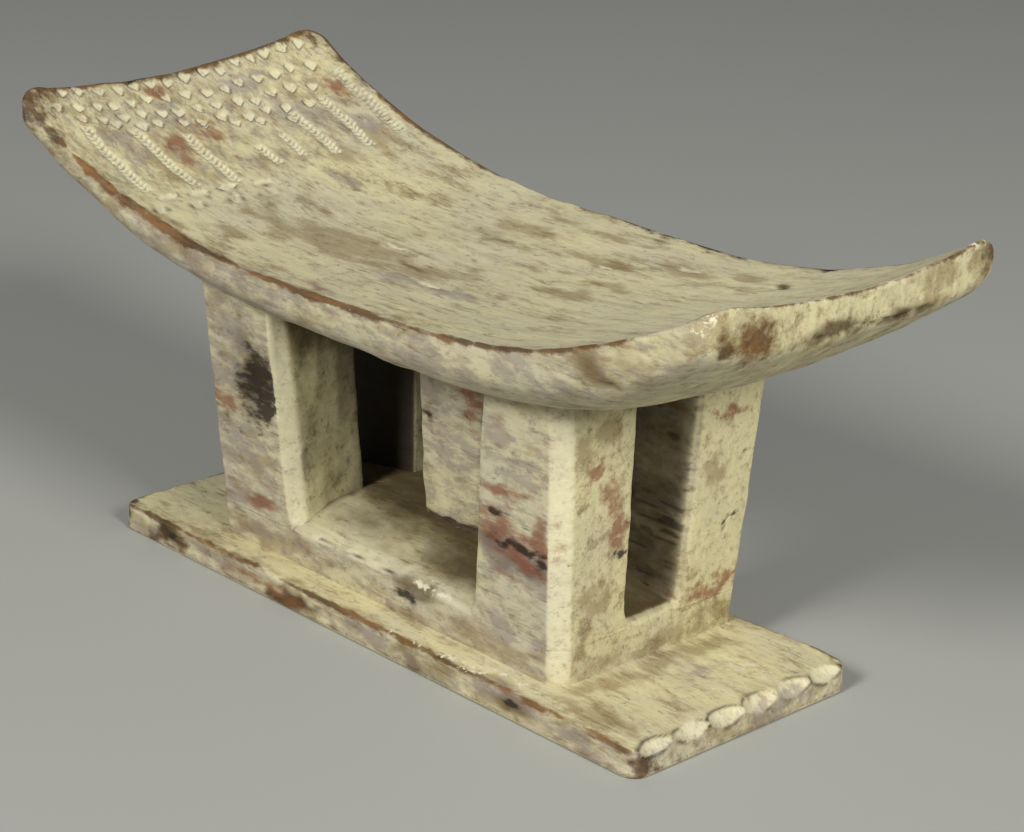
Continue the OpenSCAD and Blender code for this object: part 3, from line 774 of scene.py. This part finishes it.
# One post: its outline at each height is the frame's corner cut by the two window uprights and their bevels
def makePost(name, node, end, side):
    footRows = np.linspace(posts["foot"], posts["footTop"], posts["footRows"])[:-1]
    upperRows = np.linspace(posts["footTop"], frameShape["top"], posts["rowsHigh"])
    z = np.concatenate([footRows, upperRows])[:, None]
    up = z - frameShape["foot"]
    rise = z - frameShape["sill"]
    foot = posts["flare"] * np.exp(-np.clip(rise, 0, None) / posts["footFlare"])
    endFace = frameShape["halfLength"] + frameShape["leanX"] * up
    longFace = frameShape["halfWidth"] + frameShape["leanY"] * up
    corner = (endFace + longFace - frameShape["cornerBevel"][end, side]) * halfRoot
    atEnd = 0 if end < 0 else 1
    upright = posts["sideWindow"][atEnd] + posts["sideLean"][atEnd] * rise - foot
    slope = math.radians(posts["splay"])
    jamb = -(upright * math.cos(slope) + longFace * math.sin(slope))
    inside = posts["endWindow"] + side * posts["endOffset"] + posts["endLean"] * rise - foot
    bevelFoot, bevelTop = posts["sideBevelFoot"][atEnd], posts["sideBevelTop"][atEnd]
    bevelDepth = bevelFoot + (bevelTop - bevelFoot) * rise / 100
    sideBevel = (longFace - upright - bevelDepth) * halfRoot
    endBevel = (endFace - inside - posts["endBevel"]) * halfRoot
    normals = np.array([[0, -1], [halfRoot, -halfRoot], [1, 0], [halfRoot, halfRoot], [0, 1],
                        [-halfRoot, halfRoot], [-math.cos(slope), -math.sin(slope)]])
    reaches = np.concatenate([-inside, endBevel, endFace, corner, longFace, sideBevel, jamb], 1)
    ring = worn(outlineRings(normals, reaches, (6, 26, 6, 34, 7, 26, 30)), 1)
    flat = np.stack([end * ring[..., 0], side * ring[..., 1] + frameShape["offset"]], -1)
    grid = np.concatenate([flat, z[:, None] + 0 * flat[..., :1]], -1)
    if end * side < 0:
        grid = grid[:, ::-1]
    grid = capped(grid)
    way = outward(grid, (0, 0, -1), (0, 0, 1))
    px, py, pz = grid[..., 0], grid[..., 1], grid[..., 2]
    swell = carvedSwell(grid)
    jambSide = ramp(0.5, 0.9, -end * way[..., 0])
    windowSide = ramp(0.5, 0.9, -side * way[..., 1])
    adze = 0.45 * toolCuts(py + 40, pz, 9, 16, 12) * jambSide
    adze += 0.5 * toolCuts(px, pz, 15, 8, 13) * windowSide
    swell -= adze
    burnt = ramp(0.35, 0.8, patches(grid, frameMarks["charAndShade"][:2], frameScale))
    swell -= 1.6 * burnt * (0.5 + 0.5 * np.abs(softNoise(grid, 4, 22)))
    swell += 0.7 * patches(grid, frameMarks["pale"], frameScale)
    holes = np.zeros(px.shape)
    if end > 0:
        for y0, z0, radius in boreHoles:
            holes = np.maximum(holes, ramp(radius, radius * 0.6, np.hypot(py - y0, pz - z0)))
        holes *= ramp(0.6, 0.9, way[..., 0])
    swell -= posts["boreDepth"] * holes
    grid = grid + way * swell[..., None]
    # jambs browner deeper in and higher up, nearly dark under the seat: painted shade
    jambIn = 0.05 + 0.45 * ramp(8, 36, longFaceDepth(grid)) * ramp(50, 100, pz)
    jambIn = np.maximum(jambIn, 0.95 * ramp(84, 120, pz)) * jambSide
    # end-window sides brown as bare wood, growing darker deeper in as painted shade
    tunnelIn = (0.45 + 0.3 * ramp(1, 14, endFaceDepth(grid))) * windowSide
    # with a band darker just under the seat: dirt, and the seat's painted shadow
    inner = np.maximum.reduce([jambIn, tunnelIn, 0.5 * ramp(119, 130, pz)])
    # near-black deep inside the frame, in the tunnels and at the jamb tops: painted shade
    dark = 0.75 * ramp(20, 45, longFaceDepth(grid)) * ramp(20, 60, endFaceDepth(grid)) * ramp(50, 90, pz)
    tunnelDark = 0.15 * windowSide * ramp(4, 30, endFaceDepth(grid)) * (0.5 + 0.5 * ramp(60, 120, pz))
    dark = np.maximum(dark, tunnelDark)
    dark = np.maximum(dark, 0.35 * jambSide * ramp(100, 124, pz))
    # back left post: window side black and jamb darkening upwards, painted shadow
    if side > 0 and end < 0:
        dark = np.maximum(0.5 * dark, windowSide)
        dark = np.maximum(dark, jambSide * (0.25 + 0.6 * ramp(60, 115, pz)))
    marks = ramp(0.42, 0.55, softNoise(grid, (12, 9, 1.7), 61)) * windowSide
    dark = np.maximum(dark, 0.7 * marks * ramp(60, 50, np.abs(pz - 80)))
    # bore holes darkened as painted shade
    paint = framePaint(grid, way, inner, np.maximum(holes, dark), 1.0 if side < 0 else 0.3)
    return makePiece(name, node, grid, paint, finishes["post"])


def longFaceDepth(grid):  # how far in from the frame's nearer long face
    lean = frameShape["leanY"] * (grid[..., 2] - frameShape["foot"])
    return frameShape["halfWidth"] + lean - np.abs(grid[..., 1] - frameShape["offset"])


def endFaceDepth(grid):
    lean = frameShape["leanX"] * (grid[..., 2] - frameShape["foot"])
    return frameShape["halfLength"] + lean - np.abs(grid[..., 0])


makePost("postFrontLeft", "post_front_left", -1, -1)
makePost("postFrontRight", "post_front_right", 1, -1)
makePost("postBackLeft", "post_back_left", -1, 1)
makePost("postBackRight", "post_back_right", 1, 1)

# The pillar
pillar = {
    "centreX": (pillarLow[0] + pillarHigh[0]) / 2, "centreY": (pillarLow[1] + pillarHigh[1]) / 2,
    "halfX": (pillarHigh[0] - pillarLow[0]) / 2, "halfY": (pillarHigh[1] - pillarLow[1]) / 2,
    "bevel": 1.6, "lean": 0.04, "foot": 33.0, "top": 132.0, "splayFoot": 2.0, "rows": 92, "leanFrom": 123.0,
    "crustTop": 41.0,
}


def makePillar():
    z = np.linspace(pillar["foot"], pillar["top"], pillar["rows"])[:, None]
    lean = pillar["lean"] * (z - pillar["leanFrom"])
    foot = pillar["splayFoot"] * np.exp(-(z - pillar["foot"]) / 5)
    wideX, wideY = pillar["halfX"] + lean + foot, pillar["halfY"] + lean + foot
    corner = (wideX + wideY - pillar["bevel"] - 2 * ramp(60, 36, z)) * halfRoot
    normals = eightWays
    reaches = np.concatenate([wideX, corner, wideY, corner, wideX, corner, wideY, corner], 1)
    ring = worn(outlineRings(normals, reaches, (5, 26, 5, 18, 5, 26, 5, 18)), 1)
    ringX, ringY = ring[..., 0] + pillar["centreX"], ring[..., 1] + pillar["centreY"]
    grid = np.stack([ringX, ringY, z + 0 * ringX], -1)
    grid = capped(grid)
    way = outward(grid, (0, 0, -1), (0, 0, 1))
    swell = carvedSwell(grid) - 0.5 * toolCuts(grid[..., 0] + grid[..., 1], grid[..., 2], 9, 15, 14)
    crustTop = pillar["crustTop"] + 0.9 * softNoise(grid, 5, 41)
    undercut = ramp(crustTop + 0.5, crustTop - 0.5, grid[..., 2]) * ramp(0.4, 0.8, -way[..., 1])
    swell -= 2.0 * undercut
    grid = grid + way * swell[..., None]
    shade = 0.55 * ramp(0.3, -0.6, -way[..., 1])
    # left faces turned from the lamps: painted shade, near-black higher up
    left = ramp(0.3, 0.8, -way[..., 0])
    dark = 0.55 * left * ramp(50, 115, grid[..., 2])
    paint = framePaint(grid, way, np.maximum(shade, 0.75 * left), dark, 0.0)
    paint["lilac"] = np.maximum(paint["lilac"], 0.42 * ramp(0.3, 0.8, -way[..., 1]))
    # undercut at the foot: bare wood, with painted shade in the recess
    paint["deep"] = np.maximum(paint["deep"], undercut)
    paint["hollow"] = np.maximum(paint["hollow"], 0.55 * undercut)
    return makePiece("centerPillar", "center_pillar", grid, paint, finishes["post"])


makePillar()

# The plinth
plinth = {
    "low": 11.0, "inRows": 34, "sillWear": 3.0, "middleRun": 54.0,
    "broken": [(24, -47, 30, 14, 5, 3), (14, -48, 21, 4, 5, 4)],  # x, y, z and three radii, in mm
    "split": [(-40, 29), (-22, 28.5), (-6, 30), (10, 28.6)],  # x and z
}


# Height of the raised floor: up from the sills to the middle of each window run
def floorAt(px, py):
    wide, long = frameShape["halfWidth"], frameShape["halfLength"]
    nearY = (wide + 1.3 - np.abs(py - frameShape["offset"])) / (wide / 2)
    nearX = (long + 1 - np.abs(px)) / (long / 2)
    rise = ramp(-0.25, 1.15, np.minimum(nearX, nearY))
    return frameShape["sill"] + frameShape["floorRise"] * rise


def makePlinth():
    low, high = plinth["low"], frameShape["sill"]
    soft = plinth["sillWear"]
    wall = np.linspace(low, high - soft, 14)
    turn = np.linspace(0, np.pi / 2, 5)[1:]
    inRows = plinth["inRows"]
    heights = [np.full(6, low), wall, high - soft + soft * np.sin(turn), np.full(inRows, high)]
    z = np.concatenate(heights)[:, None]
    inset = np.concatenate([np.zeros(6), 0 * wall, soft * (1 - np.cos(turn)), np.full(inRows, soft)])[:, None]
    shares = [np.linspace(1, 0, 7)[:-1], 0 * wall, 0 * turn, np.linspace(0, 1, inRows + 1)[1:]]
    share = np.concatenate(shares)[:, None, None]
    up = z - frameShape["foot"]
    endFace = frameShape["halfLength"] + frameShape["leanX"] * up - inset
    longFace = frameShape["halfWidth"] + frameShape["leanY"] * up - inset
    full = endFace + longFace + inset * (2 - 1 / halfRoot)
    corner = {key: (full - depth) * halfRoot for key, depth in frameShape["cornerBevel"].items()}
    normals = eightWays
    reaches = np.concatenate([endFace, corner[1, 1], longFace, corner[-1, 1],
                              endFace, corner[-1, -1], longFace, corner[1, -1]], 1)
    ring = worn(outlineRings(normals, reaches, (6, 130, 6, 64, 6, 130, 6, 64)), 1)
    run = plinth["middleRun"]
    middle = np.stack([np.clip(ring[..., 0], -run, run), 0 * ring[..., 0]], -1)
    flat = ring + (middle - ring) * share
    grid = np.concatenate([flat, z[:, None] + 0 * flat[..., :1]], -1)
    grid[..., 1] += frameShape["offset"]
    onTop = (np.arange(len(z)) >= len(z) - inRows)[:, None]
    grid[..., 2] = np.where(onTop, floorAt(grid[..., 0], grid[..., 1]), grid[..., 2])
    way = outward(grid, (0, 0, -1), (0, 0, 1))
    px, py, pz = grid[..., 0], grid[..., 1], grid[..., 2]
    swell = carvedSwell(grid) - 0.5 * toolCuts(px, py + 30, 14, 9, 15) * onTop
    broken = patches(grid, plinth["broken"])
    swell -= 1.5 * broken * (0.4 + 0.6 * softNoise(grid, 4, 42))
    swell += 0.9 * patches(grid, frameMarks["pale"], frameScale)
    split = crack(px, pz, np.array(plinth["split"]), 1.0, 0.9) * ramp(0.4, 0.8, -way[..., 1])
    grid = grid + way * (swell - split)[..., None]
    wander = py + 0.3 * px + 12 * softNoise(grid, (26, 18, 18), 43)
    fromSill = longFaceDepth(grid)
    inner = onTop * (0.82 * ramp(-50, -12, wander) * ramp(3, 16, fromSill) + 0.2 * ramp(2, 10, fromSill))
    inner = np.maximum(inner, onTop * 0.8 * ramp(4, 16, endFaceDepth(grid)) * ramp(46, 56, np.abs(px)))
    # the split along the sill darkened as painted shade
    paint = framePaint(grid, way, inner, ramp(0.3, 0.9, split))
    # clean pale line along the sill's top edge, partly a painted highlight where it faces the lamps
    sillEdge = ramp(0.72, 0.82, (way[..., 2] - way[..., 1]) * math.sqrt(0.5)) * (np.abs(px) < 56)
    paint["freshAndHighlight"] = np.maximum(paint["freshAndHighlight"], 0.8 * sillEdge * ramp(-0.5, 0.1, softNoise(grid, 7, 44)))
    paint["tan"] = np.maximum(paint["tan"] * (1 - sillEdge), 0.5 * ramp(19, 12, pz) * (1 - onTop))
    paint["lilac"] *= 1 - sillEdge
    return makePiece("plinthBlock", "plinth", grid, paint, finishes["frame"])


makePlinth()

# The base plate
base = {"halfLength": baseHigh[0], "halfWidth": baseHigh[1], "thick": baseHigh[2], "corner": 7.0,
        "topWear": 2.6, "lowWear": 1.8,
        "cracks": [[(118, -6), (124, 6), (127, 20)], [(128, 0), (133, 10), (134, 18)],
                   [(122, -26), (132, -20)]]}
baseScallops = {"first": -48.5, "step": 19.2, "count": 6, "halfLong": 9.8, "depth": 3.7, "tilt": 45.0}
baseMarks = {
    "tan": [(-128, -61, 6, 22, 5, 5), (-82, -61, 6, 12, 5, 4), (-41, -61, 5, 18, 5, 5),
            (41, -61, 6, 20, 5, 4), (88, -61, 5, 14, 5, 5), (112, 0, 12, 6, 50, 5),
            (130, -50, 12, 20, 10, 4), (60, -58, 12, 30, 4, 4), (120, -58, 6, 12, 5, 5),
            (-100, -58, 12, 30, 5, 4), (160, 0, 4, 5, 30, 3)],
    "lilac": [(-90, -61, 8, 20, 5, 3), (90, -61, 8, 20, 5, 4), (10, -61, 8, 14, 5, 4),
              (160, 20, 6, 5, 20, 4), (128, 8, 12, 5, 10, 4), (128, -61, 6, 12, 5, 5)],
    "rust": [(-60, -61, 6, 14, 4, 2)],
    "bare": [(-128, -61, 5, 14, 4, 3), (-41, -61, 4, 12, 4, 2.5), (160, -56, 6, 5, 5, 7),
             (-158, -58, 8, 6, 6, 8)],
    "charAndShade": [(92, -61, 5, 4, 3, 1.6), (-125, -61, 5, 4, 3, 2)],
    "deep": [(92, -61, 5, 10, 4, 4), (-128, -61, 5, 14, 4, 4), (41, -61, 4, 14, 4, 3),
             (131, 10, 12, 5, 7, 2), (-41, -61, 4, 14, 4, 3)],
    "pale": [(140, 20, 12, 14, 16, 4), (60, -55, 12, 40, 4, 3)],
}


# Rounded rectangle: straight sides joined by quarter circles, points in step with their mirror images
def slabRing(halfLong, halfWide, radius, longCount, wideCount, cornerCount):
    a, b = halfLong - radius, halfWide - radius
    turn = np.linspace(0, np.pi / 2, cornerCount + 1)[:-1]
    rise = np.linspace(-1, 1, wideCount + 1)[:-1]
    run = np.linspace(1, -1, longCount + 1)[:-1]
    parts = [
        (halfLong + 0 * rise, rise * b), (a + radius * np.cos(turn), b + radius * np.sin(turn)),
        (run * a, halfWide + 0 * run), (-a - radius * np.sin(turn), b + radius * np.cos(turn)),
        (-halfLong + 0 * rise, -rise * b), (-a - radius * np.cos(turn), -b - radius * np.sin(turn)),
        (-run * a, -halfWide + 0 * run), (a + radius * np.sin(turn), -b - radius * np.cos(turn)),
    ]
    return np.stack([np.concatenate([p[0] for p in parts]), np.concatenate([p[1] for p in parts])], -1)


def makeBase():
    thick, topWear, lowWear = base["thick"], base["topWear"], base["lowWear"]
    ring = slabRing(base["halfLength"], base["halfWidth"], base["corner"], 190, 96, 7)
    lowTurn = np.linspace(np.pi / 2, 0, 4)[:-1]
    topTurn = np.linspace(0, np.pi / 2, 6)[1:]
    wall = np.linspace(lowWear, thick - topWear, 9)
    fine = np.linspace(0, 0.36, 21)[1:]
    coarse = np.linspace(0.36, 1, 15)[1:]
    under, top = np.linspace(1, 0, 6)[:-1], np.concatenate([fine, coarse])
    heights = [0 * under, lowWear * (1 - np.sin(lowTurn)), wall, thick - topWear + topWear * np.sin(topTurn),
               0 * top + thick]
    z = np.concatenate(heights)[:, None]
    insets = [0 * under + lowWear, lowWear * (1 - np.cos(lowTurn)), 0 * wall, topWear * (1 - np.cos(topTurn)),
              0 * top + topWear]
    inset = np.concatenate(insets)[:, None, None]
    share = np.concatenate([under, 0 * lowTurn, 0 * wall, 0 * topTurn, top])[:, None, None]
    a, b = base["halfLength"] - base["corner"], base["halfWidth"] - base["corner"]
    pull = ring - np.stack([np.clip(ring[:, 0], -a, a), np.clip(ring[:, 1], -b, b)], -1)
    pull /= np.linalg.norm(pull, axis=-1, keepdims=True)
    flat = ring[None] - pull[None] * inset
    reach = base["halfLength"] - base["halfWidth"]
    middle = np.stack([np.clip(ring[:, 0], -reach, reach), 0 * ring[:, 0]], -1)[None]
    flat = flat + (middle - flat) * share
    grid = np.concatenate([flat, z[:, None] + 0 * flat[..., :1]], -1)
    way = outward(grid, (0, 0, -1), (0, 0, 1))
    px, py, pz = grid[..., 0], grid[..., 1], grid[..., 2]
    low = ramp(0.5, 4, pz)  # the underside stays flat
    swell = carvedSwell(grid) * low - 0.3 * toolCuts(px, py + 30, 20, 11, 16) * ramp(0.5, 0.9, way[..., 2])
    edge = np.hypot(np.minimum(base["halfLength"] - np.abs(px), base["halfWidth"] - np.abs(py)), thick - pz)
    nicks = ramp(0.25, 0.7, softNoise(grid, (11, 11, 20), 51)) * np.exp(-(edge / 4) ** 2)
    swell -= 1.2 * nicks
    swell -= 0.5 * toolCuts(px + py, pz + 6, 13, 9, 17) * ramp(0.5, 0.2, np.abs(way[..., 2])) * low
    for chain in base["cracks"]:
        swell -= crack(px, py, np.array(chain), 1.1, 0.7) * ramp(0.5, 0.9, way[..., 2])
    grid = grid + way * swell[..., None]

    # scallops: a tilted gouge whose floor is a plane through the edge, hollowed along its length
    tilt = math.radians(baseScallops["tilt"])
    lip = np.zeros(px.shape)
    floor = np.zeros(px.shape)
    cornerX = base["halfLength"] - 1.0
    out = (grid[..., 0] - cornerX) * math.sin(tilt) + (grid[..., 2] - thick) * math.cos(tilt)
    for y0 in baseScallops["first"] + baseScallops["step"] * np.arange(baseScallops["count"]):
        t = (grid[..., 1] - y0) / baseScallops["halfLong"]
        limit = -baseScallops["depth"] * np.clip(1 - t * t, 0, 1) ** 0.6
        over = np.where(np.abs(t) < 1, np.clip(out - limit, 0, None), 0)
        floor = np.maximum(floor, over)
        lip = np.maximum(lip, np.exp(-((out - limit) / 0.7) ** 2) * (np.abs(t) < 1.05))
    grid[..., 0] -= floor * math.sin(tilt)
    grid[..., 2] -= floor * math.cos(tilt)

    scooped = ramp(0.1, 0.8, floor)
    rim = np.exp(-(edge / (2.2 + 1.4 * softNoise(grid, 18, 52))) ** 2)
    sides = ramp(0.5, 0.2, np.abs(way[..., 2]))
    lowRim = 0.6 * np.exp(-(pz / 2.5) ** 2) * sides
    stains = [patches(grid, baseMarks["tan"], baseScale), 0.4 * sides, 0.45 * np.exp(-(edge / 6) ** 2)]
    rubbed = [rim, lowRim, patches(grid, baseMarks["bare"], baseScale)]
    paint = {
        "cool": 0.12 + 0.35 * ramp(0.3, 0.8, -way[..., 1]) + 0.3 * ramp(0.3, 0.8, way[..., 0]),
        "freshAndHighlight": 0.6 * scooped,
        "tan": np.maximum.reduce(stains) * (1 - scooped),
        "lilac": np.maximum(patches(grid, baseMarks["lilac"], baseScale), 0.3 * sides),
        "rust": patches(grid, baseMarks["rust"], baseScale),
        "bare": np.maximum.reduce(rubbed) * (1 - scooped),
        "charAndShade": patches(grid, baseMarks["charAndShade"], baseScale),
        "pale": 0.5 * patches(grid, baseMarks["pale"], baseScale),
        "deep": patches(grid, baseMarks["deep"], baseScale),
        # painted shadow line along the scallops' lips
        "hollow": 0.8 * lip * (px > 120) * ramp(-0.6, 0.2, softNoise(grid, 5, 53)),
    }
    return makePiece("baseSlab", "base_plate", grid, paint, finishes["base"])


makeBase()

# Floor, light and camera
studio = {
    "floorSize": 9.0, "floorSteps": 41, "skyPower": 0.12, "skyColor": (0.9, 0.94, 1.0, 1),
    "lampColor": (1.0, 0.985, 0.94),
    "lamps": [("rightLamp", 80.0, 31.0, 64.0), ("frontLamp", 8.0, 33.0, 66.0)],  # name, direction, height, power
    "lampDistance": 3.2, "lampSize": 0.9,
    "camera": {"azimuth": 46.4, "height": 20.4, "roll": 1.5, "lens": 98.0, "distance": 1.134,
               "aim": (0.0214, 0.0047, 0.0893)},
}


def makeFloor():
    size = studio["floorSize"]
    count = studio["floorSteps"]
    steps = np.linspace(-size, size, count)
    fx, fy = np.meshgrid(steps, steps, indexing="ij")
    points = np.stack([fx, fy, np.zeros_like(fx)], -1).reshape(-1, 3)
    index = np.arange(count * count).reshape(count, count)
    quads = np.stack([index[:-1, :-1], index[1:, :-1], index[1:, 1:], index[:-1, 1:]], -1).reshape(-1, 4)
    mesh = bpy.data.meshes.new("studioFloor")
    mesh.from_pydata(points.tolist(), [], quads.tolist())
    finish = bpy.data.materials.new("paleFloor")
    finish.use_nodes = True
    tree = finish.node_tree
    shader = tree.nodes["Principled BSDF"]
    clouds = grained(tree, (1, 1, 1), 1.4, 3.0)
    darker = [c * 0.93 for c in tint("floor")[:3]] + [1.0]
    feed(tree, shader.inputs["Base Color"], mixed(tree, clouds, tint("floor"), darker))
    shader.inputs["Roughness"].default_value = 0.9
    mesh.materials.append(finish)
    floor = bpy.data.objects.new("studioFloor", mesh)
    bpy.context.scene.collection.objects.link(floor)


# Unit vector away from the object, angles in radians: azimuth from -Y round to +X, height up from level
def towards(azimuth, height):
    level = math.cos(height)
    return Vector((math.sin(azimuth) * level, -math.cos(azimuth) * level, math.sin(height)))


def addLamp(name, azimuth, height, distance, size, power, color):
    data = bpy.data.lights.new(name, "AREA")
    data.shape, data.size, data.energy, data.color = "DISK", size, power, color
    lamp = bpy.data.objects.new(name, data)
    back = towards(math.radians(azimuth), math.radians(height))
    lamp.location = Vector((0, 0, 0.1)) + back * distance
    lamp.rotation_euler = (-back).to_track_quat("-Z", "Y").to_euler()
    bpy.context.scene.collection.objects.link(lamp)


# Camera from its angles round the object, its roll, its distance in metres and its lens in mm
def addCamera():
    view = studio["camera"]
    azimuth, height, roll = (math.radians(view[key]) for key in ("azimuth", "height", "roll"))
    back = towards(azimuth, height)
    right = (-back).cross(Vector((0, 0, 1))).normalized()
    up = right.cross(-back)
    turnedRight = right * math.cos(roll) + up * math.sin(roll)
    turnedUp = up * math.cos(roll) - right * math.sin(roll)
    data = bpy.data.cameras.new("mainCamera")
    data.sensor_width, data.lens = 36.0, view["lens"]
    data.clip_start, data.clip_end = 0.05, 50
    camera = bpy.data.objects.new("mainCamera", data)
    spot = Vector(view["aim"]) + back * view["distance"]
    turned = Matrix((turnedRight, turnedUp, back)).transposed().to_4x4()
    camera.matrix_world = Matrix.Translation(spot) @ turned
    bpy.context.scene.collection.objects.link(camera)
    bpy.context.scene.camera = camera


makeFloor()
for name, azimuth, height, power in studio["lamps"]:
    addLamp(name, azimuth, height, studio["lampDistance"], studio["lampSize"], power, studio["lampColor"])
addCamera()
scene = bpy.context.scene
scene.view_settings.view_transform = "Standard"
world = bpy.data.worlds.new("studioSky")
world.use_nodes = True
world.node_tree.nodes["Background"].inputs["Color"].default_value = studio["skyColor"]
world.node_tree.nodes["Background"].inputs["Strength"].default_value = studio["skyPower"]
scene.world = world
print("studio ready")
